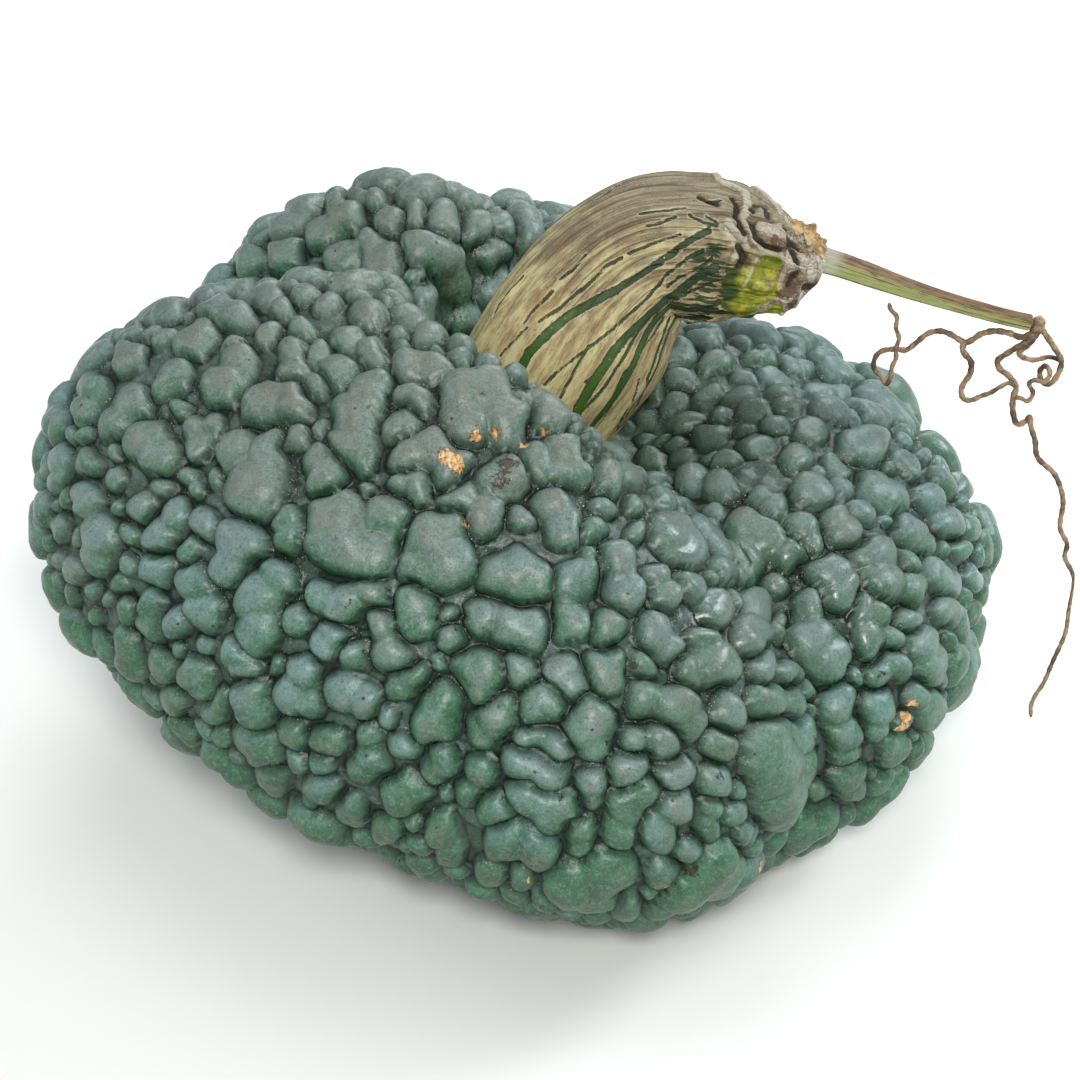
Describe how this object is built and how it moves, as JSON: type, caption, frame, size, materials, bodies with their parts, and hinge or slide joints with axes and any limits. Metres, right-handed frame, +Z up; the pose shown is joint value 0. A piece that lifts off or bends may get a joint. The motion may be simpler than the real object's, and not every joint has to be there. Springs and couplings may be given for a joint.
{
  "type": "winter squash",
  "caption": "A warty lobed winter squash with a thick bent corky stem, a dry vine stalk and curled tendrils, standing on its own flat underside as food, stock or harvest display.",
  "frame": {"origin": "on the flat rest spot under the fruit, where the table surface meets it", "axes": "+X runs toward the side the stem leans to and the vine runs out, along the greatest extent; -Y is the front; +Z is up, out of the sunken stem end"},
  "size_m": [0.3199, 0.2903, 0.188],
  "materials": {
    "fruit_skin": "semi-gloss waxy blue-green to grey-green rind with brown scabs and near-black creases between its warts",
    "cork": "dry matt cork, cream and tan, ridged and cracked lengthwise with dark green stripes",
    "dry_vine": "matt grooved vine, dark brown and dry above, olive green below",
    "dry_tendril": "matt dry brown-tan tendril"
  },
  "bodies": {
    "root": {"squash_fruit": "fruit_skin", "peduncle": "cork", "vine_stalk": "dry_vine", "tendrils": "dry_tendril"}
  },
  "joints": []
}
